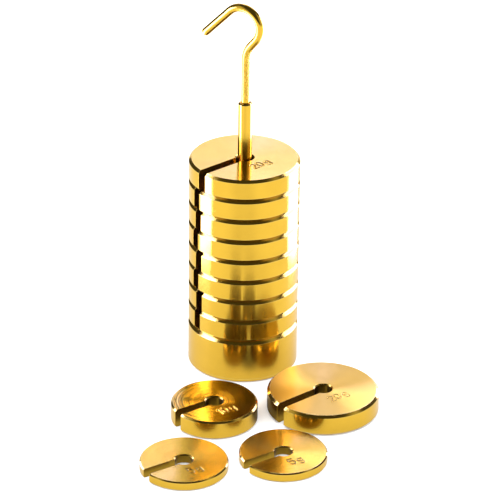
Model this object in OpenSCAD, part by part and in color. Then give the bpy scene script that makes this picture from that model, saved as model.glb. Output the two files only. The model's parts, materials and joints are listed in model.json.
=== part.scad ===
// 250 g slotted mass set in turned brass: a 50 g hanger, eight 20 g discs on its rod,
// and four loose discs of 20 g, 10 g, 5 g and 5 g on the bench in front of it.
// Millimetres. The origin is the centre of the hanger's underside, +Z runs up the rod,
// and the loose discs stand on the -Y side.

/* [20 g discs] */
// Diameter of a 20 g disc
disc20_d = 25.3; // [20:0.1:31]
// Thickness of a 20 g disc
disc20_t = 5.1; // [4:0.1:6.5]
// Chamfer on the two rim edges of a 20 g disc
disc20_chamfer = 0.6; // [0.2:0.05:1]
// How many 20 g discs are stacked on the hanger
stack_count = 8; // [2:1:8]

/* [10 g and 5 g discs] */
// Diameter of a 10 g disc
disc10_d = 19.5; // [15:0.1:24]
// Thickness of a 10 g disc
disc10_t = 4.4; // [3.4:0.1:6]
// Diameter of a 5 g disc
disc5_d = 19.5; // [15:0.1:24]
// Thickness of a 5 g disc
disc5_t = 2.2; // [1.6:0.1:3.2]
// Chamfer on the rim edges of the 10 g disc
disc10_chamfer = 0.4; // [0.15:0.05:0.8]
// Chamfer on the rim edges of the 5 g discs
disc5_chamfer = 0.3; // [0.15:0.05:0.5]

/* [Keyholes] */
// Gap all round between the rod and the hole in the middle of a disc
rod_clearance = 0.35; // [0.1:0.05:0.6]
// Gap on each side between the hook wire and a disc's slot
wire_clearance = 0.15; // [0.05:0.05:0.4]
// Chamfer round both ends of the hole
hole_chamfer = 0.3; // [0.1:0.05:0.5]

/* [Hanger base] */
// Diameter of the base
base_d = 25.3; // [20:0.1:31]
// Height of the base
base_h = 10.5; // [8:0.1:13]
// Chamfer on the base's top edge
base_top_chamfer = 0.8; // [0.2:0.1:1.5]
// Chamfer on the base's bottom edge
base_foot_chamfer = 0.4; // [0.1:0.1:1]

/* [Hanger rod] */
// Diameter of the rod
rod_d = 3.2; // [2.6:0.1:4]
// Length of rod that stands above the full stack
rod_above_stack = 13.6; // [8:0.1:20]
// Depth to which the rod is pressed into the base
rod_seat = 6.5; // [4:0.1:7.5]
// Chamfer on both ends of the rod
rod_chamfer = 0.3; // [0.1:0.05:0.5]
// Countersink round the wire in the rod's top
rod_countersink = 0.25; // [0.1:0.05:0.3]

/* [Hook] */
// Diameter of the hook wire
wire_d = 1.9; // [1.5:0.1:2.3]
// Depth to which the wire is pressed into the rod
wire_seat = 5; // [3:0.5:8]
// Straight wire between the rod and the first bend
shank = 10.4; // [6:0.1:16]
// Radius of the first, small bend, to the middle of the wire
lean_r = 5.6; // [3:0.1:9]
// Angle by which the first bend leans the wire outwards
lean_angle = 39; // [20:1:55]
// Straight wire between the two bends
lean_length = 1.9; // [0.5:0.1:4]
// Radius of the hook's main bend, to the middle of the wire
hook_r = 4.4; // [3.2:0.1:6.5]
// Angle of the hook's main bend
hook_angle = 175; // [150:1:190]
// Straight wire from the main bend to the tip
tip_length = 9.2; // [5:0.1:12]
// How much thinner the wire is where it has been bent
bend_thinning = 0.02; // [0.01:0.01:0.1]
// Chamfer on the end of the wire
tip_chamfer = 0.25; // [0.1:0.05:0.4]
// Turn of the hook about the rod
hook_turn = -28; // [-90:1:90]

/* [Places of the loose discs] */
// Gap between the base and the loose 10 g disc
gap_base_10 = 7; // [2:0.1:12]
// Direction of the loose 10 g disc from the rod
dir_10 = 258; // [240:1:275]
// Gap between the base and the loose 20 g disc
gap_base_20 = 4.7; // [2:0.1:12]
// Gap between the loose 20 g and 10 g discs
gap_20_10 = 2.6; // [0.5:0.1:6]
// Gap between the loose 20 g disc and the right 5 g disc
gap_20_5 = 2.2; // [0.5:0.1:6]
// Gap between the loose 10 g disc and the right 5 g disc
gap_10_5_right = 4.1; // [0.5:0.1:6]
// Gap between the loose 10 g disc and the left 5 g disc
gap_10_5_left = 3.3; // [0.5:0.1:8]
// Gap between the two 5 g discs
gap_5_5 = 2.6; // [0.5:0.1:6]
// Direction in which the slots of the loose 10 g and 5 g discs point
loose_slot_dir = 214; // [180:1:250]
// Direction in which the slot of the loose 20 g disc points
loose20_slot_dir = 220; // [180:1:250]

/* [Hidden] */
$fn = 96;
// Cutters run this far past the faces that they open
over = 1;
// Straight wire runs this far into a bend, where the bend's thinner wire hides in it
bend_lap = 0.02;

// The discs' hole passes the rod, and their slot passes only the wire
hole_d = rod_d + 2 * rod_clearance;
slot_w = wire_d + 2 * wire_clearance;

// Directions of the stacked discs' slots, from the lowest disc to the top one,
// as a hand leaves them
stack_slot_dir = [214, 217, 211, 216, 210, 215, 212, 221];

// Heights up the hanger
stack_top = base_h + stack_count * disc20_t;
rod_top = stack_top + rod_above_stack;

// Centres of the loose discs, each a stated gap from its neighbours
at_10 = (base_d / 2 + gap_base_10 + disc10_d / 2) * heading(dir_10);
at_20 = beside([0, 0], base_d / 2 + gap_base_20 + disc20_d / 2,
    at_10, disc10_d / 2 + gap_20_10 + disc20_d / 2);
at_5_right = beside(at_20, disc20_d / 2 + gap_20_5 + disc5_d / 2,
    at_10, disc10_d / 2 + gap_10_5_right + disc5_d / 2);
at_5_left = beside(at_5_right, disc5_d + gap_5_5,
    at_10, disc10_d / 2 + gap_10_5_left + disc5_d / 2);

// Unit vector in a direction given in degrees from +X
function heading(direction) = [cos(direction), sin(direction)];

// The point at distance ra from a and rb from b, on the left of the way from a to b
function beside(a, ra, b, rb) =
    let (
        span = norm(b - a),
        along = (ra * ra - rb * rb + span * span) / (2 * span),
        aside = sqrt(ra * ra - along * along),
        way = (b - a) / span
    )
    a + along * way + aside * [-way[1], way[0]];

// A round blank with chamfered rim edges, standing on z = 0
module turned_blank(d, h, top_chamfer, foot_chamfer) {
    rotate_extrude()
        polygon([
            [0, 0],
            [d / 2 - foot_chamfer, 0],
            [d / 2, foot_chamfer],
            [d / 2, h - top_chamfer],
            [d / 2 - top_chamfer, h],
            [0, h]
        ]);
}

// The hole that passes the rod, chamfered at both ends, through a disc of thickness t
module rod_hole(t) {
    translate([0, 0, -over])
        cylinder(h = t + 2 * over, d = hole_d);
    translate([0, 0, t - hole_chamfer])
        cylinder(h = over, d1 = hole_d, d2 = hole_d + 2 * over);
    translate([0, 0, hole_chamfer - over])
        cylinder(h = over, d1 = hole_d + 2 * over, d2 = hole_d);
}

// A disc with its keyhole: the slot leaves the hole along slot_dir
module slotted_disc(d, t, chamfer, slot_dir) {
    rotate([0, 0, slot_dir])
        difference() {
            turned_blank(d, t, chamfer, chamfer);
            rod_hole(t);
            translate([0, -slot_w / 2, -over])
                cube([d / 2 + over, slot_w, t + 2 * over]);
        }
}

// Wire bent towards +X from the origin, where it runs along +Z.
// Children go on from the end of the bend.
module wire_bend(r, angle) {
    translate([r, 0, 0])
        rotate([90, 0, 0])
            rotate([0, 0, 180 - angle])
                rotate_extrude(angle = angle)
                    translate([r, 0])
                        circle(d = wire_d - bend_thinning);
    translate([r * (1 - cos(angle)), 0, r * sin(angle)])
        rotate([0, angle, 0])
            children();
}

// Straight wire from the origin along +Z, which laps a hair into the bends that it meets.
// Children go on from its end.
module wire_run(length, lap_start, lap_end) {
    translate([0, 0, -lap_start])
        cylinder(h = length + lap_start + lap_end, d = wire_d);
    translate([0, 0, length])
        children();
}

// The wire's end, cut off square and lightly chamfered
module cut_end() {
    cylinder(h = tip_chamfer, d1 = wire_d, d2 = wire_d - 2 * tip_chamfer);
}

// Heavy round foot of the hanger, with a blind bore for the rod
module hanger_base() {
    color([0.85, 0.63, 0.22])
        difference() {
            turned_blank(base_d, base_h, base_top_chamfer, base_foot_chamfer);
            translate([0, 0, base_h - rod_seat])
                cylinder(h = rod_seat + over, d = rod_d);
        }
}

// Thick rod pressed into the base, with a blind bore in its top for the wire
module hanger_rod() {
    length = rod_top - base_h + rod_seat;
    color([0.88, 0.68, 0.28])
        translate([0, 0, base_h - rod_seat])
            difference() {
                turned_blank(rod_d, length, rod_chamfer, rod_chamfer);
                translate([0, 0, length - wire_seat])
                    cylinder(h = wire_seat + over, d = wire_d);
                translate([0, 0, length - rod_countersink])
                    cylinder(h = over, d1 = wire_d, d2 = wire_d + 2 * over);
            }
}

// Thin wire set in the rod: shank, lean, main bend and straight tip
module hanger_hook() {
    color([0.92, 0.74, 0.36])
        translate([0, 0, rod_top - wire_seat])
            rotate([0, 0, hook_turn])
                wire_run(wire_seat + shank, 0, bend_lap)
                    wire_bend(lean_r, lean_angle)
                        wire_run(lean_length, bend_lap, bend_lap)
                            rotate([0, 0, 180])
                                wire_bend(hook_r, hook_angle)
                                    wire_run(tip_length - tip_chamfer, bend_lap, 0)
                                        cut_end();
}

// The stacked 20 g disc of a given number, 1 at the bottom
module stacked_disc(number) {
    color([0.86, 0.65, 0.24])
        translate([0, 0, base_h + (number - 1) * disc20_t])
            slotted_disc(disc20_d, disc20_t, disc20_chamfer, stack_slot_dir[number - 1]);
}

// The four discs that lie loose on the bench
module loose_disc_20g() {
    color([0.86, 0.65, 0.24])
        translate(at_20)
            slotted_disc(disc20_d, disc20_t, disc20_chamfer, loose20_slot_dir);
}

module loose_disc_10g() {
    color([0.82, 0.6, 0.2])
        translate(at_10)
            slotted_disc(disc10_d, disc10_t, disc10_chamfer, loose_slot_dir);
}

module loose_disc_5g_left() {
    color([0.9, 0.7, 0.3])
        translate(at_5_left)
            slotted_disc(disc5_d, disc5_t, disc5_chamfer, loose_slot_dir);
}

module loose_disc_5g_right() {
    color([0.9, 0.7, 0.3])
        translate(at_5_right)
            slotted_disc(disc5_d, disc5_t, disc5_chamfer, loose_slot_dir);
}

hanger_base();
hanger_rod();
hanger_hook();
for (number = [1:stack_count])
    stacked_disc(number);
loose_disc_20g();
loose_disc_10g();
loose_disc_5g_left();
loose_disc_5g_right();
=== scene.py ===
"""A 250 g slotted mass set in turned brass: hanger, eight stacked discs and four loose ones.

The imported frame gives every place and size. Each piece is turned from its outline, slotted and
struck as a finished mesh, the hook is bent from one wire, and each piece gets its own brass.
"""

import json
import math

import bmesh
import bpy
import numpy as np
from mathutils import Matrix, Vector


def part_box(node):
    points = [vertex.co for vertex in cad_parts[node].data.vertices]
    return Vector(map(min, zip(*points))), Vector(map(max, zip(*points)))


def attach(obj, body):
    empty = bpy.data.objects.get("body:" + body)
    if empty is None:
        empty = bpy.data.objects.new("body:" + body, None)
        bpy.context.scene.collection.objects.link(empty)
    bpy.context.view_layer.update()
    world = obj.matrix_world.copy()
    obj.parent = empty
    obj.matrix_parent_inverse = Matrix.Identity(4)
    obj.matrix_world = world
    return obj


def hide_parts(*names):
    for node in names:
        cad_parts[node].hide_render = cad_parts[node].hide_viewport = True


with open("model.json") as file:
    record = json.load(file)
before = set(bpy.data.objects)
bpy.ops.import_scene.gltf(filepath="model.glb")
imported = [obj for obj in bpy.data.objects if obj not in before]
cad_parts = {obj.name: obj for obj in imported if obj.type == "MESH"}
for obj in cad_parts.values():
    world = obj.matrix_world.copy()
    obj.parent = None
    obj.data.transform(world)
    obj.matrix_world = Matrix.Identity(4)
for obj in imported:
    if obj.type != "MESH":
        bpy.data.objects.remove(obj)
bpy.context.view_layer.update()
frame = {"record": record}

MM = 0.001

# ---------------------------------------------------------------------------
# Sizes, in millimetres. Overall sizes and places come from the frame.
# ---------------------------------------------------------------------------

DISC20_CHAMFER = 0.6
DISC10_CHAMFER = 0.4
DISC5_CHAMFER = 0.3
BASE_TOP_CHAMFER = 0.8
BASE_FOOT_CHAMFER = 0.4
ROD_CHAMFER = 0.3
ROD_COUNTERSINK = 0.25
ROD_SEAT = 6.5
HOLE_CHAMFER = 0.3
ROD_CLEARANCE = 0.35
SLOT_WIDTH = 2.2
EDGE_RADIUS = 0.07          # how far the turned edges are broken
ROD_EDGE_RADIUS = 0.03
SLOT_EDGE_RADIUS = 0.06     # how far the milled edges of the slot are broken
EDGE_POINTS = 3             # points that round a broken turned edge
EDGE_RINGS = 3              # rings of faces round a broken slot edge
WELD_DISTANCE = 0.0005      # points nearer than this become one
TURNED_SEGMENTS = 224
ROD_SEGMENTS = 96

STACK_COUNT = 8
# Direction of each slot in degrees from +X, from the lowest disc to the top one
STACK_SLOT_DIRECTIONS = (214, 217, 211, 216, 210, 215, 212, 221)
LOOSE_DISCS = {
    # node: (mount in its bore, slot direction, figures, chamfer)
    "loose_disc_20g": ("bore_20g", 220, "20g", DISC20_CHAMFER),
    "loose_disc_10g": ("bore_10g", 214, "10g", DISC10_CHAMFER),
    "loose_disc_5g_left": ("bore_5g_left", 214, "5g", DISC5_CHAMFER),
    "loose_disc_5g_right": ("bore_5g_right", 214, "5g", DISC5_CHAMFER),
}

# Figures struck into the discs
FIGURE_HEIGHT = 2.3
FIGURE_GAP = 0.46
LETTER_GAP = 0.75
STROKE_WIDTH = 0.34
STROKE_DEPTH = 0.14
STROKE_LIP = 0.025          # metal thrown up beside a stroke
LIP_REACH = 2.2             # where the thrown-up metal ends, in half stroke widths
STRIKE_CELL = 0.06          # grid that carries the struck figures
STRIKE_MARGIN = 0.4
STRIKE_OFFSET = 5.1         # from the disc's centre to the middle of the figures
STRIKE_TILT = 3             # how far a struck row may lean, in degrees
STRIKE_ASIDE = 0.25         # how far it may stand to one side
STRIKE_INWARDS = 0.2        # how far it may stand nearer to the hole or the rim
STRIKE_SEED = 100
FILL_SLANT = 0.5            # turn at which a struck face is filled, in radians

# How far a slot, a bore and a disc's figures are darkened as painted shade, from 0 to 1
SLOT_SHADE = 0.6
BORE_SHADE = 1.0
FIGURE_SHADE = {"20g": 0.5, "10g": 0.1, "5g": 1.0}
SLOT_SHADE_REACH = 0.01      # how far the painted shade reaches past the wall of a slot
BORE_SHADE_REACH = 0.03      # and of a bore
FIGURE_REACH = 3            # the struck figures lie within this far outside their middle

# Each piece's own number varies its tool marks. The discs have theirs in order from 1.
BASE_NUMBER = 21
ROD_NUMBER = 22
HOOK_NUMBER = 23

# The hook's wire, as the CAD part bends it
HOOK_TURN = -28
LEAN_RADIUS = 5.6
LEAN_ANGLE = 39
LEAN_LENGTH = 1.9
HOOK_RADIUS = 4.4
HOOK_ANGLE = 175
TIP_LENGTH = 9.2
SHANK_LENGTH = 10.4
WIRE_DIAMETER = 1.9
WIRE_SEAT = 5.0
TIP_CHAMFER = 0.25
TIP_POINTS = 12
SEAT_STEP = 0.7             # between points on the straight wire
BEND_STEP = 3.0             # between points on a bend, in degrees
WIRE_SIDES = 40


def node_size(name):
    """Width, depth and height of a CAD node in millimetres, to the tenth it was drawn at."""
    low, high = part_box(name)
    return [round((b - a) / MM, 1) for a, b in zip(low, high)]


def node_foot(name):
    """Height of the underside of a CAD node, in millimetres."""
    return round(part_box(name)[0].z / MM, 3)


# ---------------------------------------------------------------------------
# Node tree helpers
# ---------------------------------------------------------------------------

class Number:
    """A number in a node tree, so that sums can be written as sums."""

    def __init__(self, tree, socket):
        self.tree, self.socket = tree, socket

    def math(self, operation, *others):
        """A sum of this number and others, by the operation's own name."""
        node = self.tree.nodes.new("ShaderNodeMath")
        node.operation = operation
        for slot, value in enumerate((self, *others)):
            feed(self.tree, node.inputs[slot], value)
        return Number(self.tree, node.outputs[0])

    def __add__(self, other):
        return self.math("ADD", other)

    def __sub__(self, other):
        return self.math("SUBTRACT", other)

    def __mul__(self, other):
        return self.math("MULTIPLY", other)

    def __truediv__(self, other):
        return self.math("DIVIDE", other)

    __radd__ = __add__
    __rmul__ = __mul__

    def __rsub__(self, other):
        return self * -1.0 + other

    def __rtruediv__(self, other):
        return self.math("POWER", -1.0) * other

    def step(self, start, end, low=0.0, high=1.0):
        """Runs smoothly from low to high as this number goes from start to end."""
        node = add(
            self.tree, "ShaderNodeMapRange",
            {"Value": self, "From Min": start, "From Max": end, "To Min": low, "To Max": high},
            interpolation_type="SMOOTHSTEP",
        )
        return Number(self.tree, node.outputs[0])


def feed(tree, socket, value):
    """Links a socket to another socket or a Number, or sets its value."""
    if isinstance(value, Number):
        value = value.socket
    if isinstance(value, bpy.types.NodeSocket):
        tree.links.new(value, socket)
    else:
        socket.default_value = value


def add(tree, kind, inputs=None, **settings):
    """A node with its settings and its inputs, given by name or number."""
    node = tree.nodes.new(kind)
    for key, value in settings.items():
        setattr(node, key, value)
    for key, value in (inputs or {}).items():
        feed(tree, node.inputs[key], value)
    return node


def new_group(kind, name, inputs, outputs):
    """A node group with named sockets, its inputs as a lookup and its output node."""
    tree = bpy.data.node_groups.new(name, kind)
    for label, socket_type, value in inputs:
        socket = tree.interface.new_socket(label, in_out="INPUT", socket_type=socket_type)
        if value is not None:
            socket.default_value = value
    for label, socket_type in outputs:
        tree.interface.new_socket(label, in_out="OUTPUT", socket_type=socket_type)
    given = tree.nodes.new("NodeGroupInput")
    result = tree.nodes.new("NodeGroupOutput")
    lookup = {}
    for socket in given.outputs:
        lookup[socket.name] = Number(tree, socket) if socket.type in ("VALUE", "INT") else socket
    return tree, lookup, result


def vector_parts(tree, vector):
    """The three parts of a vector as Numbers."""
    node = add(tree, "ShaderNodeSeparateXYZ", {0: vector})
    return [Number(tree, socket) for socket in node.outputs]


def vector_of(tree, x, y, z):
    """A vector made of three parts."""
    return add(tree, "ShaderNodeCombineXYZ", {0: x, 1: y, 2: z}).outputs[0]


def vector_math(tree, operation, *vectors):
    """A sum of vectors in a node tree, by the operation's own name."""
    return add(tree, "ShaderNodeVectorMath", dict(enumerate(vectors)), operation=operation).outputs[0]


def captured(tree, geometry, kind, label, field):
    """Keeps a field on a geometry. Gives the geometry and the kept field."""
    node = tree.nodes.new("GeometryNodeCaptureAttribute")
    node.capture_items.new(kind, label)
    feed(tree, node.inputs[0], geometry)
    feed(tree, node.inputs[1], field)
    return node.outputs[0], node.outputs[1]


def set_input(modifier, label, value):
    """Sets a Geometry Nodes input, found by its socket's identifier."""
    for item in modifier.node_group.interface.items_tree:
        if item.item_type == "SOCKET" and item.in_out == "INPUT" and item.name == label:
            modifier[item.identifier] = value
            return
    raise KeyError(label)


def finish_tree(tree, geometry, material, result):
    """Ends a Geometry Nodes tree in real geometry with its material."""
    real = add(tree, "GeometryNodeRealizeInstances", {0: geometry})
    finished = add(tree, "GeometryNodeSetMaterial", {"Geometry": real.outputs[0], "Material": material})
    tree.links.new(finished.outputs[0], result.inputs[0])


# ---------------------------------------------------------------------------
# Geometry Nodes trees
# ---------------------------------------------------------------------------

def make_turning_tree():
    """Turns an outline, x outwards and z up, about the Z axis, and opens a slot along -X."""
    tree, given, result = new_group(
        "GeometryNodeTree", "turned_and_slotted",
        [
            ("Outline", "NodeSocketGeometry", None),
            ("Edge Radius", "NodeSocketFloat", EDGE_RADIUS),
            ("Segments", "NodeSocketInt", TURNED_SEGMENTS),
            ("Slot Width", "NodeSocketFloat", 0.0),
            ("Slot Edge Radius", "NodeSocketFloat", 0.0),
            ("Has Slot", "NodeSocketBool", False),
            ("Material", "NodeSocketMaterial", None),
        ],
        [("Solid", "NodeSocketGeometry")],
    )
    outline = add(tree, "GeometryNodeMeshToCurve", {0: given["Outline"]})
    broken = add(
        tree, "GeometryNodeFilletCurve",
        {
            "Curve": outline.outputs[0],
            "Radius": given["Edge Radius"],
            "Count": EDGE_POINTS,
            "Limit Radius": True,
        },
        mode="POLY",
    )
    profile, place = captured(
        tree, broken.outputs[0], "VECTOR", "Place", tree.nodes.new("GeometryNodeInputPosition").outputs[0]
    )
    profile, heading = captured(
        tree, profile, "VECTOR", "Heading", tree.nodes.new("GeometryNodeInputTangent").outputs[0]
    )
    rail_line = add(tree, "GeometryNodeCurvePrimitiveLine", {"End": (0.0, 0.0, 1.0)})
    rings = given["Segments"] + (2 * EDGE_RINGS + 1)
    rail = add(tree, "GeometryNodeResampleCurve", {"Curve": rail_line.outputs[0], "Count": rings})
    rail, ring = captured(
        tree, rail.outputs[0], "FLOAT", "Ring", tree.nodes.new("GeometryNodeInputIndex").outputs[0]
    )
    ring = Number(tree, ring)
    swept = add(
        tree, "GeometryNodeCurveToMesh",
        {"Curve": rail, "Profile Curve": profile, "Fill Caps": given["Has Slot"]},
    )

    # Rings near a slot wall bend round its broken edge; the others share out the turn evenly
    radius, _, height = vector_parts(tree, place)
    out_up, _, out_side = vector_parts(tree, heading)
    from_wall = ring.math("MINIMUM", given["Segments"] + 2 * EDGE_RINGS - ring)
    bend = from_wall.math("MINIMUM", float(EDGE_RINGS)) * (math.pi / 2 / EDGE_RINGS)
    inset = given["Slot Edge Radius"] * (1.0 - bend.math("SINE"))
    set_back = given["Slot Edge Radius"] * (1.0 - bend.math("COSINE"))
    radius = radius - out_side * inset
    height = height + out_up * inset
    wall_angle = ((given["Slot Width"] * 0.5 + set_back) / radius).math("ARCSINE")
    share = ((ring - float(EDGE_RINGS)) / given["Segments"]).math("MAXIMUM", 0.0).math("MINIMUM", 1.0)
    angle = wall_angle + share * (2.0 * math.pi - 2.0 * wall_angle)
    moved = add(
        tree, "GeometryNodeSetPosition",
        {
            "Geometry": swept.outputs[0],
            "Position": vector_of(
                tree, radius * angle.math("COSINE") * -1.0, radius * angle.math("SINE") * -1.0, height
            ),
        },
    )
    closed = add(tree, "GeometryNodeMergeByDistance", {0: moved.outputs[0], "Distance": WELD_DISTANCE})
    finish_tree(tree, closed.outputs[0], given["Material"], result)
    return tree


def make_striking_tree():
    """A flat patch with strokes struck into it, each with a little metal thrown up beside it."""
    tree, given, result = new_group(
        "GeometryNodeTree", "struck_figures",
        [
            ("Strokes", "NodeSocketGeometry", None),
            ("Width", "NodeSocketFloat", 6.0),
            ("Height", "NodeSocketFloat", 3.0),
            ("Cell", "NodeSocketFloat", STRIKE_CELL),
            ("Stroke Width", "NodeSocketFloat", STROKE_WIDTH),
            ("Depth", "NodeSocketFloat", STROKE_DEPTH),
            ("Lip", "NodeSocketFloat", STROKE_LIP),
            ("Material", "NodeSocketMaterial", None),
        ],
        [("Patch", "NodeSocketGeometry")],
    )
    grid = add(
        tree, "GeometryNodeMeshGrid",
        {
            "Size X": given["Width"],
            "Size Y": given["Height"],
            "Vertices X": given["Width"] / given["Cell"] + 1.0,
            "Vertices Y": given["Height"] / given["Cell"] + 1.0,
        },
    )
    near = add(tree, "GeometryNodeProximity", {0: given["Strokes"]}, target_element="EDGES")
    distance = Number(tree, near.outputs["Distance"])
    half = given["Stroke Width"] * 0.5
    groove = distance.step(0.0, half, (given["Depth"] + given["Lip"]) * -1.0, 0.0)
    lip = distance.step(half, half * LIP_REACH, given["Lip"], 0.0)
    struck = add(
        tree, "GeometryNodeSetPosition",
        {"Geometry": grid.outputs[0], "Offset": vector_of(tree, 0.0, 0.0, groove + lip)},
    )
    finish_tree(tree, struck.outputs[0], given["Material"], result)
    return tree


def make_wire_tree():
    """Draws round wire along a path, with a small chamfer at its free end."""
    tree, given, result = new_group(
        "GeometryNodeTree", "bent_wire",
        [
            ("Path", "NodeSocketGeometry", None),
            ("Radius", "NodeSocketFloat", WIRE_DIAMETER / 2),
            ("Sides", "NodeSocketInt", WIRE_SIDES),
            ("Tip Chamfer", "NodeSocketFloat", TIP_CHAMFER),
            ("Material", "NodeSocketMaterial", None),
        ],
        [("Wire", "NodeSocketGeometry")],
    )
    path = add(tree, "GeometryNodeMeshToCurve", {0: given["Path"]})
    along = Number(tree, tree.nodes.new("GeometryNodeSplineParameter").outputs["Length"])
    whole = Number(tree, tree.nodes.new("GeometryNodeSplineLength").outputs["Length"])
    past = (along - (whole - given["Tip Chamfer"])).math("MAXIMUM", 0.0)
    path, along_kept = captured(tree, path.outputs[0], "FLOAT", "Along", along)
    ring = add(
        tree, "GeometryNodeCurvePrimitiveCircle",
        {"Resolution": given["Sides"], "Radius": given["Radius"]}, mode="RADIUS",
    )
    profile, place = captured(
        tree, ring.outputs[0], "VECTOR", "Place", tree.nodes.new("GeometryNodeInputPosition").outputs[0]
    )
    drawn = add(
        tree, "GeometryNodeCurveToMesh",
        {
            "Curve": path,
            "Profile Curve": profile,
            "Scale": 1.0 - past / given["Radius"],
            "Fill Caps": True,
        },
    )
    x, y, _ = vector_parts(tree, place)
    kept = add(
        tree, "GeometryNodeStoreNamedAttribute",
        {
            "Geometry": drawn.outputs[0],
            "Name": "lathe",
            "Value": vector_of(tree, x, y, Number(tree, along_kept)),
        },
        data_type="FLOAT_VECTOR", domain="POINT",
    )
    finish_tree(tree, kept.outputs[0], given["Material"], result)
    return tree


# ---------------------------------------------------------------------------
# Making meshes
# ---------------------------------------------------------------------------

def mesh_of_lines(name, lines):
    """A mesh of edges only. Each line is a list of points and whether it closes on itself."""
    points, edges = [], []
    for line, closes in lines:
        first = len(points)
        points += line
        edges += [(first + n, first + n + 1) for n in range(len(line) - 1)]
        if closes:
            edges.append((len(points) - 1, first))
    mesh = bpy.data.meshes.new(name)
    mesh.from_pydata(points, edges, [])
    return mesh


def grown(name, start, tree, **inputs):
    """The plain mesh that a Geometry Nodes tree makes of a starting mesh."""
    piece = bpy.data.objects.new(name, start)
    bpy.context.scene.collection.objects.link(piece)
    modifier = piece.modifiers.new("make", "NODES")
    modifier.node_group = tree
    for label, value in inputs.items():
        set_input(modifier, label.replace("_", " "), value)
    bpy.context.view_layer.update()
    graph = bpy.context.evaluated_depsgraph_get()
    mesh = bpy.data.meshes.new_from_object(piece.evaluated_get(graph), depsgraph=graph)
    piece.modifiers.remove(modifier)
    bpy.data.objects.remove(piece)
    bpy.data.meshes.remove(start)
    return mesh


def face_outwards(shape):
    """Turns a closed shell's faces outwards."""
    bmesh.ops.recalc_face_normals(shape, faces=shape.faces)
    if shape.calc_volume(signed=True) < 0:
        bmesh.ops.reverse_faces(shape, faces=shape.faces)


def give_broad_normals(mesh):
    """Smooth normals that the large faces rule, so flats stay flat and broken edges look round."""
    normals = np.zeros((len(mesh.vertices), 3))
    for face in mesh.polygons:
        normals[list(face.vertices)] += np.array(face.normal) * face.area
    normals /= np.linalg.norm(normals, axis=1)[:, None]
    mesh.shade_smooth()
    mesh.normals_split_custom_set_from_vertices(normals.tolist())


def finished_piece(name, mesh, body, node, number):
    """An object for a finished mesh in metres, which stands for its CAD node."""
    values = mesh.attributes.new("number", "FLOAT", "POINT").data
    values.foreach_set("value", [float(number)] * len(mesh.vertices))
    piece = bpy.data.objects.new(name, mesh)
    bpy.context.scene.collection.objects.link(piece)
    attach(piece, body)
    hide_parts(node)
    return piece


def mark_recesses(mesh, thickness, shade_in_figures):
    """Keeps how far each point of a disc lies in a slot, bore or struck figure, where it is darkened as
    painted shade.
    """
    places = np.empty(len(mesh.vertices) * 3)
    mesh.vertices.foreach_get("co", places)
    x, y, z = places.reshape(-1, 3).T
    from_axis = np.hypot(x, y)
    # The slot, the bore and the struck figures are darkened here: painted shade
    in_slot = ((np.abs(y) < SLOT_WIDTH / 2 + SLOT_SHADE_REACH) & (x < 0)) * SLOT_SHADE
    in_bore = (from_axis < hole_radius + BORE_SHADE_REACH) * BORE_SHADE
    sunk = np.clip(2 * (thickness - z) / STROKE_DEPTH, 0, 1)
    near_figures = (y < -SLOT_WIDTH) & (from_axis < STRIKE_OFFSET + FIGURE_REACH)
    in_figure = shade_in_figures * sunk * (near_figures & (z > thickness - 1.05 * STROKE_DEPTH))
    depth = np.maximum(np.maximum(in_slot, in_bore), in_figure)
    mesh.attributes.new("recess", "FLOAT", "POINT").data.foreach_set("value", depth)


def place_turned(mesh, turn, x, y, foot):
    """Turns a mesh about its axis, keeps its place about the axis, and moves it where it stands."""
    mesh.transform(Matrix.Rotation(math.radians(turn), 4, "Z"))
    kept = mesh.attributes.new("lathe", "FLOAT_VECTOR", "POINT").data
    places = np.empty(len(mesh.vertices) * 3)
    mesh.vertices.foreach_get("co", places)
    kept.foreach_set("vector", places)
    mesh.transform(Matrix.Scale(MM, 4) @ Matrix.Translation((x, y, foot)))


# ---------------------------------------------------------------------------
# Figures
# ---------------------------------------------------------------------------

def arc(x, y, wide, high, start, end, steps=18):
    """Points on an ellipse's arc, angles in degrees."""
    turns = [math.radians(start + (end - start) * n / steps) for n in range(steps + 1)]
    return [(x + wide * math.cos(a), y + high * math.sin(a)) for a in turns]


# Each figure is a width and its strokes, on a height of 1
FIGURES = {
    "0": (0.56, [arc(0.28, 0.5, 0.26, 0.48, 0, 360, 32)]),
    "1": (0.2, [[(0.0, 0.8), (0.16, 1.0), (0.16, 0.0)]]),
    "2": (0.56, [arc(0.28, 0.73, 0.25, 0.25, 165, -35) + [(0.03, 0.02), (0.55, 0.02)]]),
    "5": (0.56, [[(0.5, 0.98), (0.1, 0.98), (0.06, 0.56)] + arc(0.27, 0.33, 0.27, 0.31, 125, -145)]),
    "g": (0.5, [
        arc(0.25, 0.42, 0.22, 0.24, 0, 360, 24),
        [(0.48, 0.66)] + arc(0.25, 0.0, 0.23, 0.22, 0, -150, 12),
    ]),
}


def strokes_of(figures):
    """The strokes of some figures, centred, and the width that they take."""
    strokes, x = [], 0.0
    for n, figure in enumerate(figures):
        if n:
            x += LETTER_GAP if figure == "g" else FIGURE_GAP
        width, lines = FIGURES[figure]
        for line in lines:
            strokes.append([(x + px * FIGURE_HEIGHT, (py - 0.5) * FIGURE_HEIGHT) for px, py in line])
        x += width * FIGURE_HEIGHT
    strokes = [[(px - x / 2, py) for px, py in line] for line in strokes]
    return strokes, x


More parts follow.
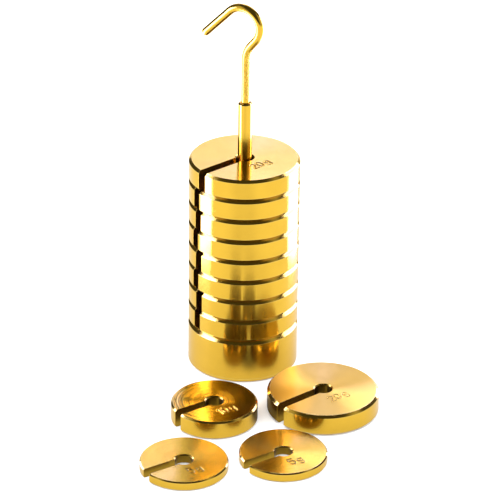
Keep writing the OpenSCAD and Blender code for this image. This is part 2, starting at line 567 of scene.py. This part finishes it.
def strike(shape, thickness, figures, number, tree):
    """Strikes figures into the top of a disc: a struck patch is let into its flat top face."""
    strokes, width = strokes_of(figures)
    low = min(y for line in strokes for _, y in line)
    width += 2 * STRIKE_MARGIN
    height = (FIGURE_HEIGHT / 2 - low) + 2 * STRIKE_MARGIN
    middle = (FIGURE_HEIGHT / 2 + low) / 2
    lines = [([(x, y - middle, 0.0) for x, y in line], False) for line in strokes]
    patch = grown("patch", mesh_of_lines("strokes", lines), tree, Width=width, Height=height)
    chance = np.random.default_rng(STRIKE_SEED + number)
    tilt = chance.uniform(-STRIKE_TILT, STRIKE_TILT)
    aside = chance.uniform(-STRIKE_ASIDE, STRIKE_ASIDE)
    inwards = chance.uniform(-STRIKE_INWARDS, STRIKE_INWARDS)
    patch.transform(
        Matrix.Rotation(math.radians(tilt), 4, "Z")
        @ Matrix.Translation((aside, inwards - STRIKE_OFFSET, thickness))
    )
    top = [f for f in shape.faces if all(abs(v.co.z - thickness) < 1e-4 for v in f.verts)]
    bmesh.ops.delete(shape, geom=top, context="FACES_KEEP_BOUNDARY")
    shape.from_mesh(patch)
    bpy.data.meshes.remove(patch)
    rim = [e for e in shape.edges if e.is_boundary]

    # Filled at a slant, because an edge of the patch that runs along X can spoil the fill
    slant = Matrix.Rotation(FILL_SLANT, 4, "Z")
    shape.transform(slant)
    bmesh.ops.triangle_fill(
        shape, use_beauty=True, use_dissolve=False, edges=rim, normal=(0.0, 0.0, 1.0)
    )
    shape.transform(slant.inverted())


# ---------------------------------------------------------------------------
# Outlines, x outwards and z up, in the order that keeps the metal on the left
# ---------------------------------------------------------------------------

def disc_outline(radius, thickness, chamfer, hole_radius):
    """Half of a disc's section, round its hole."""
    wide = hole_radius + HOLE_CHAMFER
    return [
        (hole_radius, HOLE_CHAMFER), (wide, 0), (radius - chamfer, 0), (radius, chamfer),
        (radius, thickness - chamfer), (radius - chamfer, thickness), (wide, thickness),
        (hole_radius, thickness - HOLE_CHAMFER),
    ]


def base_outline(radius, height, bore_radius):
    """Half of the base's section, with the seat of the rod."""
    floor = height - ROD_SEAT
    return [
        (0, 0), (radius - BASE_FOOT_CHAMFER, 0), (radius, BASE_FOOT_CHAMFER),
        (radius, height - BASE_TOP_CHAMFER), (radius - BASE_TOP_CHAMFER, height),
        (bore_radius, height), (bore_radius, floor), (0, floor),
    ]


def rod_outline(radius, length, bore_radius):
    """Half of the rod's section, with the seat of the wire."""
    floor = length - WIRE_SEAT
    return [
        (0, 0), (radius - ROD_CHAMFER, 0), (radius, ROD_CHAMFER), (radius, length - ROD_CHAMFER),
        (radius - ROD_CHAMFER, length), (bore_radius + ROD_COUNTERSINK, length),
        (bore_radius, length - ROD_COUNTERSINK), (bore_radius, floor), (0, floor),
    ]


def turned(name, outline, closes, tree, **inputs):
    """The mesh of a piece turned from its outline, in millimetres."""
    start = mesh_of_lines(name, [([(x, 0.0, z) for x, z in outline], closes)])
    mesh = grown(name, start, tree, **inputs)
    shape = bmesh.new()
    shape.from_mesh(mesh)
    face_outwards(shape)
    shape.to_mesh(mesh)
    shape.free()
    return mesh


def wire_path():
    """The middle line of the hook's wire in millimetres, from the bottom of its seat."""
    straight = WIRE_SEAT + SHANK_LENGTH
    points = [Vector((0, 0, z)) for z in np.arange(0, straight - SEAT_STEP / 2, SEAT_STEP)]
    at, lean = Vector((0, 0, straight)), 0.0

    def heading(angle):
        """The direction of travel at an angle from the vertical."""
        return Vector((math.sin(angle), 0, math.cos(angle)))

    def bend(radius, degrees, side):
        """Follows an arc, to the right if side is 1 and to the left if it is -1."""
        nonlocal at, lean
        count = round(degrees / BEND_STEP)
        turn = math.radians(degrees) / count
        for _ in range(count):
            points.append(at.copy())
            at = at + heading(lean + side * turn / 2) * 2 * radius * math.sin(turn / 2)
            lean += side * turn

    bend(LEAN_RADIUS, LEAN_ANGLE, 1)
    points.append(at.copy())
    at = at + heading(lean) * LEAN_LENGTH
    bend(HOOK_RADIUS, HOOK_ANGLE, -1)
    for share in np.linspace(0, 1, TIP_POINTS, endpoint=False):
        points.append(at + heading(lean) * (TIP_LENGTH - TIP_CHAMFER) * share)
    points.append(at + heading(lean) * (TIP_LENGTH - TIP_CHAMFER))
    points.append(at + heading(lean) * TIP_LENGTH)
    return points


# ---------------------------------------------------------------------------
# Shared effects for the materials
# ---------------------------------------------------------------------------

def lathe_place(tree):
    """Distance from the turning axis and height up it in millimetres, the place, and its number."""
    place = add(tree, "ShaderNodeAttribute", attribute_name="lathe").outputs["Vector"]
    number = Number(tree, add(tree, "ShaderNodeAttribute", attribute_name="number").outputs["Fac"])
    x, y, height = vector_parts(tree, place)
    radius = (x * x + y * y).math("SQRT")
    return radius, height, place, number


def noise(tree, vector, scale, detail=2.0, roughness=0.5):
    """Noise from 0 to 1 as a Number."""
    node = add(
        tree, "ShaderNodeTexNoise",
        {"Vector": vector, "Scale": scale, "Detail": detail, "Roughness": roughness},
    )
    return Number(tree, node.outputs[0])


def make_lathe_marks():
    """Rings that the turning tool leaves on faces and rims."""
    tree, given, result = new_group(
        "ShaderNodeTree", "lathe_marks",
        [
            ("Pitch", "NodeSocketFloat", 0.5),
            ("Ring Depth", "NodeSocketFloat", 0.5),
            ("Fine Pitch", "NodeSocketFloat", 0.16),
            ("Fine Depth", "NodeSocketFloat", 0.5),
            ("Patchiness", "NodeSocketFloat", 0.5),
        ],
        [("Height", "NodeSocketFloat"), ("Rings", "NodeSocketFloat"), ("Fine", "NodeSocketFloat")],
    )
    radius, height, place, number = lathe_place(tree)

    # The marks follow one line, outwards on a face and up on a rim, and differ from piece to piece
    across = radius + height * 1.7 + number * 3.1
    spot = vector_math(tree, "ADD", place, vector_of(tree, number * 7.0, 0.0, 0.0))

    # Rings whose pitch drifts, deeper in some patches than in others
    patches = noise(tree, spot, 0.35, 1.0)
    drift = noise(tree, vector_of(tree, across, number, 0.0), 0.8, 1.0)
    turns = across / given["Pitch"] + drift * 2.2
    wave = (turns * (2.0 * math.pi)).math("SINE") * 0.5 + 0.5
    rings = wave.math("POWER", 2.0) * patches.step(0.12, 0.72, 0.35, 1.0)

    # Fine marks, broken up here and there
    fine = noise(tree, vector_of(tree, across / given["Fine Pitch"], number, 0.0), 1.0, 3.0, 0.65)
    broken = noise(tree, spot, 3.2, 2.0)
    fine = fine + (broken - 0.5) * given["Patchiness"]
    total = rings * given["Ring Depth"] + fine * given["Fine Depth"]
    feed(tree, result.inputs["Height"], total)
    feed(tree, result.inputs["Rings"], rings)
    feed(tree, result.inputs["Fine"], fine)
    return tree


def make_edge_wear():
    """Where a disc's edges have rubbed bright, and where its flat faces are."""
    tree, given, result = new_group(
        "ShaderNodeTree", "edge_wear",
        [
            ("Radius", "NodeSocketFloat", 12.65),
            ("Thickness", "NodeSocketFloat", 5.1),
            ("Chamfer", "NodeSocketFloat", 0.6),
            ("Width", "NodeSocketFloat", 0.22),
        ],
        [("Wear", "NodeSocketFloat"), ("Face", "NodeSocketFloat")],
    )
    radius, height, place, _ = lathe_place(tree)
    half = given["Thickness"] * 0.5
    level = (height - half).math("ABSOLUTE")

    def gap(r, z):
        """Distance to the ring of radius r that lies z from the middle of the thickness."""
        return ((radius - r) * (radius - r) + (level - z) * (level - z)).math("SQRT")

    nearest = gap(given["Radius"] - given["Chamfer"], half).math(
        "MINIMUM", gap(given["Radius"], half - given["Chamfer"])
    )
    ragged = (noise(tree, place, 2.5, 3.0) - 0.5) * 0.35
    feed(tree, result.inputs["Wear"], (nearest + ragged).step(0.0, given["Width"], 1.0, 0.0))
    feed(tree, result.inputs["Face"], level.step(half - 0.04, half - 0.01))
    return tree


def make_handling():
    """Cloudy tarnish, finger smears and a few fine scratches from use."""
    tree, given, result = new_group(
        "ShaderNodeTree", "handling",
        [
            ("Cloud Size", "NodeSocketFloat", 9.0),
            ("Scratches", "NodeSocketFloat", 0.5),
        ],
        [("Cloud", "NodeSocketFloat"), ("Smear", "NodeSocketFloat"), ("Scratch", "NodeSocketFloat")],
    )
    place = add(tree, "ShaderNodeTexCoord").outputs["Object"]
    scaled = add(tree, "ShaderNodeVectorMath", {0: place, "Scale": 1.0 / MM}, operation="SCALE")
    millimetres = scaled.outputs[0]
    cloud = noise(tree, millimetres, 1.0 / given["Cloud Size"], 3.0, 0.55)
    smear = noise(tree, millimetres, 0.45, 4.0, 0.7)

    # Long thin cells that lie askew, whose middle lines are the scratches
    slanted = add(
        tree, "ShaderNodeMapping",
        {"Vector": millimetres, "Rotation": (0.3, 0.5, 0.7), "Scale": (0.15, 2.2, 2.2)},
    ).outputs[0]
    lines = (noise(tree, slanted, 1.6, 1.0) - 0.5).math("ABSOLUTE").step(0.0, 0.012, 1.0, 0.0)
    scratch = lines * smear.step(0.5, 0.62) * given["Scratches"]
    feed(tree, result.inputs["Cloud"], cloud)
    feed(tree, result.inputs["Smear"], smear)
    feed(tree, result.inputs["Scratch"], scratch)
    return tree


LATHE_MARKS = make_lathe_marks()
EDGE_WEAR = make_edge_wear()
HANDLING = make_handling()

BRASS = (0.92, 0.565, 0.06, 1.0)
PALE_BRASS = (0.95, 0.71, 0.22, 1.0)
DULL_BRASS = (0.60, 0.33, 0.03, 1.0)
# Dark brass painted into slots, bores and struck figures as shade
SHADED_BRASS = (0.20, 0.115, 0.012, 1.0)
MOST_TARNISH = 0.16         # share of the dull brass where tarnish is deepest
RING_TARNISH = 0.1          # and on the rings, for a ring depth of 1
WEAR_PALENESS = 0.35        # share of the pale brass on a worn edge
MOST_RECESS_SHADE = 0.85            # share of the dark brass in a recess, where it is painted shade
TURNED_GLOSS_SPREAD = 0.85  # how strongly gloss spreads across the tool marks, from 0 to 1
TOOL_MARK_DEPTH = 0.01 * MM
RIM_MARKS = 0.2             # depth of the marks on a rim, as a share of a face's
WIRE_MARK_DEPTH = 0.02 * MM
WIRE_ROUGHNESS = 0.13


def group_of(tree, group, inputs):
    """Places a shared effect in a material. Gives its outputs as Numbers."""
    node = add(tree, "ShaderNodeGroup", node_tree=group)
    for key, value in inputs.items():
        feed(tree, node.inputs[key], value)
    return {socket.name: Number(tree, socket) for socket in node.outputs}


def blend_colours(tree, share, first, second):
    """A colour between two others."""
    node = add(tree, "ShaderNodeMix", data_type="RGBA", clamp_factor=True)
    feed(tree, node.inputs[0], share)
    feed(tree, node.inputs[6], first)
    feed(tree, node.inputs[7], second)
    return node.outputs[2]


def new_material(name):
    """An empty material with its Principled shader linked up."""
    material = bpy.data.materials.new(name)
    material.use_nodes = True
    tree = material.node_tree
    tree.nodes.clear()
    shader = tree.nodes.new("ShaderNodeBsdfPrincipled")
    output = tree.nodes.new("ShaderNodeOutputMaterial")
    tree.links.new(shader.outputs[0], output.inputs[0])
    return material, tree, shader


def grain_direction(tree, place):
    """Across the tool marks: outwards on a face, up on a rim."""
    x, y, _ = vector_parts(tree, place)
    normal = add(tree, "ShaderNodeNewGeometry").outputs["Normal"]
    round_it = vector_of(tree, y * -1.0, x, 0.0)
    return vector_math(tree, "NORMALIZE", vector_math(tree, "CROSS_PRODUCT", normal, round_it))


def make_turned_brass(name, radius, thickness, chamfer, pitch, ring_depth, fine_depth,
                      face_roughness, rim_roughness, dish=0.0):
    """Brass as it leaves the lathe, with the marks, wear and handling of one kind of piece.

    dish is how steeply the faces rise outwards, in hundredths of a millimetre for each one.
    """
    material, tree, shader = new_material(name)
    from_axis, _, place, _ = lathe_place(tree)
    marks = group_of(tree, LATHE_MARKS, {"Pitch": pitch, "Ring Depth": ring_depth, "Fine Depth": fine_depth})
    edge = group_of(tree, EDGE_WEAR, {"Radius": radius, "Thickness": thickness, "Chamfer": chamfer})
    hands = group_of(tree, HANDLING, {})
    dull = hands["Cloud"].step(0.35, 0.75, 0.0, MOST_TARNISH)
    dull = dull + marks["Rings"] * edge["Face"] * (RING_TARNISH * ring_depth)
    colour = blend_colours(tree, dull, BRASS, DULL_BRASS)
    colour = blend_colours(tree, edge["Wear"] * WEAR_PALENESS, colour, PALE_BRASS)
    # Slots, bores and struck figures darken towards the dark brass and grow rougher: painted shade
    recess = Number(tree, add(tree, "ShaderNodeAttribute", attribute_name="recess").outputs["Fac"])
    colour = blend_colours(tree, recess * MOST_RECESS_SHADE, colour, SHADED_BRASS)
    feed(tree, shader.inputs["Base Color"], colour)
    rough = edge["Face"] * (face_roughness - rim_roughness) + rim_roughness
    rough = rough + (hands["Smear"] - 0.5) * 0.06 + marks["Fine"] * 0.04 - edge["Wear"] * 0.04
    rough = rough + recess * 0.15
    feed(tree, shader.inputs["Roughness"], rough)
    shader.inputs["Metallic"].default_value = 1.0
    shader.inputs["Anisotropic"].default_value = TURNED_GLOSS_SPREAD
    feed(tree, shader.inputs["Tangent"], grain_direction(tree, place))
    height = marks["Height"] * (edge["Face"] * (1.0 - RIM_MARKS) + RIM_MARKS) - hands["Scratch"] * 0.4
    height = height + from_axis * edge["Face"] * dish
    bump = add(tree, "ShaderNodeBump", {"Height": height, "Strength": 1.0, "Distance": TOOL_MARK_DEPTH})
    feed(tree, shader.inputs["Normal"], bump.outputs[0])
    return material


def make_wire_brass():
    """Bright drawn wire, with a shank bitten where it was held."""
    material, tree, shader = new_material("hook_wire_brass")
    _, along, place, _ = lathe_place(tree)
    hands = group_of(tree, HANDLING, {"Cloud Size": 6.0})
    x, y, _ = vector_parts(tree, place)
    squeezed = vector_of(tree, x * 0.9, y * 0.9, along * 2.6)
    bites = noise(tree, squeezed, 1.0, 3.0, 0.6)
    bites = (bites - 0.5).math("ABSOLUTE").step(0.0, 0.05, 1.0, 0.0)
    shank_end = WIRE_SEAT + SHANK_LENGTH
    gripped = along.step(WIRE_SEAT + 0.5, WIRE_SEAT + 1.5)
    gripped = gripped * along.step(shank_end + 1.0, shank_end + 5.0, 1.0, 0.0)
    side = (x * 0.9 - y * 0.3).step(-0.2, 0.7)
    bites = bites * gripped * side
    draw_lines = noise(tree, vector_of(tree, x * 6.0, y * 6.0, along * 0.12), 1.0, 2.0)
    dull = hands["Cloud"].step(0.35, 0.75, 0.0, 0.14) + bites * 0.45
    feed(tree, shader.inputs["Base Color"], blend_colours(tree, dull, BRASS, DULL_BRASS))
    rough = WIRE_ROUGHNESS + (hands["Smear"] - 0.5) * 0.06 + bites * 0.2
    feed(tree, shader.inputs["Roughness"], rough)
    shader.inputs["Metallic"].default_value = 1.0
    height = draw_lines * 0.25 - bites * 1.6 - hands["Scratch"] * 0.3
    bump = add(tree, "ShaderNodeBump", {"Height": height, "Strength": 1.0, "Distance": WIRE_MARK_DEPTH})
    feed(tree, shader.inputs["Normal"], bump.outputs[0])
    return material


# ---------------------------------------------------------------------------
# The pieces
# ---------------------------------------------------------------------------

TURNING = make_turning_tree()
STRIKING = make_striking_tree()
WIRE = make_wire_tree()

base_size = node_size("hanger_base")
rod_size = node_size("hanger_rod")
disc20_size = node_size("loose_disc_20g")
disc10_size = node_size("loose_disc_10g")
disc5_size = node_size("loose_disc_5g_left")
rod_radius = rod_size[0] / 2
hole_radius = rod_radius + ROD_CLEARANCE

STACK_BRASS = make_turned_brass(
    "stacked_disc_brass", disc20_size[0] / 2, disc20_size[2], DISC20_CHAMFER,
    pitch=0.55, ring_depth=0.25, fine_depth=0.35, face_roughness=0.2, rim_roughness=0.13,
)
LOOSE_BRASS = {
    "loose_disc_20g": make_turned_brass(
        "loose_20g_brass", disc20_size[0] / 2, disc20_size[2], DISC20_CHAMFER,
        pitch=0.55, ring_depth=0.25, fine_depth=0.5, face_roughness=0.3, rim_roughness=0.13, dish=-3.0,
    ),
    "loose_disc_10g": make_turned_brass(
        "loose_10g_brass", disc10_size[0] / 2, disc10_size[2], DISC10_CHAMFER,
        pitch=0.5, ring_depth=1.8, fine_depth=0.3, face_roughness=0.12, rim_roughness=0.13, dish=8.0,
    ),
    "loose_disc_5g_left": make_turned_brass(
        "left_5g_brass", disc5_size[0] / 2, disc5_size[2], DISC5_CHAMFER,
        pitch=0.45, ring_depth=0.8, fine_depth=0.7, face_roughness=0.2, rim_roughness=0.13, dish=6.0,
    ),
    "loose_disc_5g_right": make_turned_brass(
        "right_5g_brass", disc5_size[0] / 2, disc5_size[2], DISC5_CHAMFER,
        pitch=0.45, ring_depth=0.6, fine_depth=0.7, face_roughness=0.2, rim_roughness=0.13, dish=-8.0,
    ),
}
BASE_BRASS = make_turned_brass(
    "base_brass", base_size[0] / 2, base_size[2], BASE_TOP_CHAMFER,
    pitch=0.6, ring_depth=0.3, fine_depth=0.4, face_roughness=0.25, rim_roughness=0.14,
)
ROD_BRASS = make_turned_brass(
    "rod_brass", rod_radius, rod_size[2], ROD_CHAMFER,
    pitch=0.8, ring_depth=0.2, fine_depth=0.4, face_roughness=0.2, rim_roughness=0.12,
)
WIRE_BRASS = make_wire_brass()


def make_disc(node, brass, slot_direction, x, y, chamfer, figures, number):
    """One slotted disc: turned and slotted, then struck, then set where it belongs."""
    size, foot = node_size(node), node_foot(node)
    mesh = turned(
        node, disc_outline(size[0] / 2, size[2], chamfer, hole_radius), True, TURNING,
        Has_Slot=True, Slot_Width=SLOT_WIDTH, Slot_Edge_Radius=SLOT_EDGE_RADIUS,
        Material=brass,
    )
    shape = bmesh.new()
    shape.from_mesh(mesh)
    strike(shape, size[2], figures, number, STRIKING)
    face_outwards(shape)
    for face in shape.faces:
        face.material_index = 0
    shape.to_mesh(mesh)
    shape.free()
    mark_recesses(mesh, size[2], FIGURE_SHADE[figures])
    place_turned(mesh, slot_direction - 180, x, y, foot)
    give_broad_normals(mesh)
    finished_piece(f"{node}_turned", mesh, node, node, number)


def make_stack():
    """The discs on the rod, the lowest first."""
    for number in range(1, STACK_COUNT + 1):
        node = f"disc_20g_{number}"
        direction = STACK_SLOT_DIRECTIONS[number - 1]
        make_disc(node, STACK_BRASS, direction, 0.0, 0.0, DISC20_CHAMFER, "20g", number)


def make_loose_discs():
    """The discs on the bench, each round the bore that the record gives it."""
    mounts = {mount["name"]: mount for mount in frame["record"]["mounts"]}
    for number, (node, (bore, direction, figures, chamfer)) in enumerate(LOOSE_DISCS.items()):
        x, y, _ = [value / MM for value in mounts[bore]["pos_m"]]
        make_disc(node, LOOSE_BRASS[node], direction, x, y, chamfer, figures, STACK_COUNT + 1 + number)


def make_base():
    """The heavy foot, bored for the rod."""
    outline = base_outline(base_size[0] / 2, base_size[2], rod_radius)
    mesh = turned("base", outline, False, TURNING, Material=BASE_BRASS)
    place_turned(mesh, 0, 0, 0, node_foot("hanger_base"))
    give_broad_normals(mesh)
    finished_piece("hanger_base_turned", mesh, "hanger", "hanger_base", BASE_NUMBER)


def make_rod():
    """The rod, bored in its top for the wire."""
    outline = rod_outline(rod_radius, rod_size[2], WIRE_DIAMETER / 2)
    mesh = turned(
        "rod", outline, False, TURNING,
        Edge_Radius=ROD_EDGE_RADIUS, Segments=ROD_SEGMENTS, Material=ROD_BRASS,
    )
    place_turned(mesh, 0, 0, 0, node_foot("hanger_rod"))
    give_broad_normals(mesh)
    finished_piece("hanger_rod_turned", mesh, "hanger", "hanger_rod", ROD_NUMBER)


def make_hook():
    """The wire, bent in one plane and turned about the rod."""
    path = mesh_of_lines("wire_path", [([tuple(point) for point in wire_path()], False)])
    mesh = grown("hook", path, WIRE, Material=WIRE_BRASS)
    shape = bmesh.new()
    shape.from_mesh(mesh)
    face_outwards(shape)
    shape.to_mesh(mesh)
    shape.free()
    rod_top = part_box("hanger_rod")[1].z / MM
    mesh.transform(
        Matrix.Scale(MM, 4)
        @ Matrix.Translation((0, 0, rod_top - WIRE_SEAT))
        @ Matrix.Rotation(math.radians(HOOK_TURN), 4, "Z")
    )
    give_broad_normals(mesh)
    finished_piece("hanger_hook_wire", mesh, "hanger", "hanger_hook", HOOK_NUMBER)


make_base()
make_rod()
make_hook()
make_stack()
make_loose_discs()


# ---------------------------------------------------------------------------
# Floor, studio and camera
# ---------------------------------------------------------------------------

FLOOR_RADIUS = 4.0
FLOOR_SIDES = 96
FLOOR_ROUGHNESS = 0.9
FLOOR_COLOUR = (0.93, 0.93, 0.92, 1.0)
FLOOR_GLOW = 0.46           # light that the floor gives to the brass by itself
GLOW_COLOUR = (1.0, 0.995, 0.98, 1.0)
DARKEST_GREY = (0.02, 0.02, 0.02, 1.0)
LIGHTEST_GREY = (0.4, 0.4, 0.4, 1.0)
BRIGHT_SIDES = (20, 60)     # the floor grows brighter this far to the left and right, in millimetres
SIDE_GAIN = 0.15
SHADED_GAP = (5.0, -25.0)   # middle of the dim floor between the foot and the loose discs
GAP_EDGE = (4, 9)           # how far from that middle the dimness starts to fade, and ends
GAP_SHADE = 0.85
LATER_SHADE = 0.75          # how much less the floor gives to light on its second reflection

ROOM_GLOW = 0.055           # the dim room all round
BACK_GLOW = 0.7             # the wide glow low behind the set
WINDOW_GLOW = 1.2           # the narrow window in it
SIDE_GLOW = 0.5             # the glow at both sides of the bench
BACKDROP_GLOW = 1.1         # what the camera sees of the room
ROOM_ON_FLOOR = 2.5         # what lights the floor
WHITE = (1.0, 1.0, 1.0, 1.0)
WINDOW_COLOUR = (1.0, 1.08, 4.0, 1.0)

SIDE_PANEL_COLOUR = (1.0, 1.08, 3.2)
BACK_PANEL_COLOUR = (1.0, 1.0, 1.4)
PANELS = [
    # name, start and end on the bench, foot and top, radiance, colour
    ("left_panel", (-64, -30), (-64, 4), 2, 105, 5.5, SIDE_PANEL_COLOUR),
    ("right_panel", (64, 6), (46, 42), 2, 105, 4.2, SIDE_PANEL_COLOUR),
    ("back_panel", (-110, 150), (110, 150), 112, 240, 0.58, BACK_PANEL_COLOUR),
]

CAMERA_LENS = 222.6
CAMERA_SENSOR = 36.0
CAMERA_CLIP = (0.01, 20.0)
CAMERA_TARGET = (1.46, 0.0, 27.75)
CAMERA_DISTANCE = 708.4
CAMERA_TILT = 27.15         # degrees above the bench
CAMERA_ROLL = 0.73


def make_floor():
    """A pale sheet under everything, which gives the brass a light of its own."""
    shape = bmesh.new()
    bmesh.ops.create_circle(shape, cap_ends=True, segments=FLOOR_SIDES, radius=FLOOR_RADIUS)
    mesh = bpy.data.meshes.new("floor")
    shape.to_mesh(mesh)
    shape.free()
    floor = bpy.data.objects.new("floor", mesh)
    bpy.context.scene.collection.objects.link(floor)
    material, tree, shader = new_material("pale_floor")
    shader.inputs["Roughness"].default_value = FLOOR_ROUGHNESS
    shader.inputs["Emission Color"].default_value = GLOW_COLOUR
    path = tree.nodes.new("ShaderNodeLightPath")
    seen = Number(tree, path.outputs["Is Camera Ray"])
    later = Number(tree, path.outputs["Ray Depth"]).step(1.2, 1.8)
    x, y, _ = vector_parts(tree, tree.nodes.new("ShaderNodeTexCoord").outputs["Object"])
    beside = x.math("ABSOLUTE").step(*(edge * MM for edge in BRIGHT_SIDES))
    gap_x, gap_y = x - SHADED_GAP[0] * MM, y - SHADED_GAP[1] * MM
    from_gap = (gap_x * gap_x + gap_y * gap_y).math("SQRT")
    in_gap = from_gap.step(*(edge * MM for edge in GAP_EDGE), 1.0, 0.0)
    given_back = (beside * SIDE_GAIN + 1.0) * (1.0 - in_gap * GAP_SHADE) * (1.0 - later * LATER_SHADE)
    grey = blend_colours(tree, given_back * 0.5, DARKEST_GREY, LIGHTEST_GREY)
    feed(tree, shader.inputs["Base Color"], blend_colours(tree, seen, grey, FLOOR_COLOUR))
    feed(tree, shader.inputs["Emission Strength"], (1.0 - seen) * given_back * FLOOR_GLOW)
    mesh.materials.append(material)


def make_studio():
    """A dim room with a glow at both sides and one behind, in which a narrow window is brightest."""
    world = bpy.data.worlds.new("studio")
    bpy.context.scene.world = world
    world.use_nodes = True
    tree = world.node_tree
    tree.nodes.clear()

    # Directions run from -1 to 1: +X is to the right, +Y behind the set and +Z up
    x, y, z = vector_parts(tree, tree.nodes.new("ShaderNodeTexCoord").outputs["Generated"])
    back = y.step(0.3, 0.7) * z.step(0.6, 0.85, 1.0, 0.0)
    glow = back * x.step(-0.09, -0.02) * x.step(0.45, 0.7, 1.0, 0.0)
    window = back * x.step(-0.01, 0.015) * x.step(0.035, 0.06, 1.0, 0.0)
    sides = x.math("ABSOLUTE").step(0.5, 0.75) * y.step(-0.15, 0.1, 1.0, 0.0) * z.step(0.7, 0.9, 1.0, 0.0)
    radiance = ROOM_GLOW + glow * BACK_GLOW + window * WINDOW_GLOW + sides * SIDE_GLOW

    # The camera and the floor meet plain light; only the brass reflects the glows
    path = tree.nodes.new("ShaderNodeLightPath")
    seen, lights_floor = (Number(tree, path.outputs[f"Is {ray} Ray"]) for ray in ("Camera", "Diffuse"))
    plain = seen + lights_floor
    radiance = radiance * (1.0 - plain) + seen * BACKDROP_GLOW + lights_floor * ROOM_ON_FLOOR
    colour = blend_colours(tree, window * (1.0 - plain), WHITE, WINDOW_COLOUR)
    light = add(tree, "ShaderNodeBackground", {"Color": colour, "Strength": radiance})
    output = tree.nodes.new("ShaderNodeOutputWorld")
    tree.links.new(light.outputs[0], output.inputs[0])


def make_panel(name, start, end, low, high, radiance, colour):
    """An upright light panel between two places on the bench, facing the stack. Millimetres."""
    first, last = Vector((*start, 0.0)) * MM, Vector((*end, 0.0)) * MM
    middle = (first + last) / 2
    up = Vector((0.0, 0.0, 1.0))
    facing = (last - first).normalized().cross(up)
    if facing.dot(middle) > 0:
        facing = -facing
    data = bpy.data.lights.new(name, "AREA")
    data.shape, data.size, data.size_y = "RECTANGLE", (last - first).length, (high - low) * MM
    data.energy = radiance * math.pi * data.size * data.size_y
    data.color = colour
    lamp = bpy.data.objects.new(name, data)
    bpy.context.scene.collection.objects.link(lamp)
    lamp.location = middle + up * (low + high) / 2 * MM
    lamp.rotation_euler = Matrix((up.cross(-facing), up, -facing)).transposed().to_euler()
    lamp.visible_camera = False
    lamp.visible_diffuse = False


def make_camera():
    """The camera, a long lens from the front and above."""
    data = bpy.data.cameras.new("camera")
    data.lens = CAMERA_LENS
    data.sensor_width = CAMERA_SENSOR
    data.clip_start, data.clip_end = CAMERA_CLIP
    camera = bpy.data.objects.new("camera", data)
    bpy.context.scene.collection.objects.link(camera)
    tilt = math.radians(CAMERA_TILT)
    way = Vector((0.0, -math.cos(tilt), math.sin(tilt)))
    camera.location = Vector(CAMERA_TARGET) * MM + way * CAMERA_DISTANCE * MM
    roll = Matrix.Rotation(math.radians(CAMERA_ROLL), 3, "Z")
    camera.rotation_euler = (way.to_track_quat("Z", "Y").to_matrix() @ roll).to_euler()
    bpy.context.scene.camera = camera


make_floor()
make_studio()
for panel in PANELS:
    make_panel(*panel)
make_camera()
bpy.context.scene.view_settings.view_transform = "Standard"
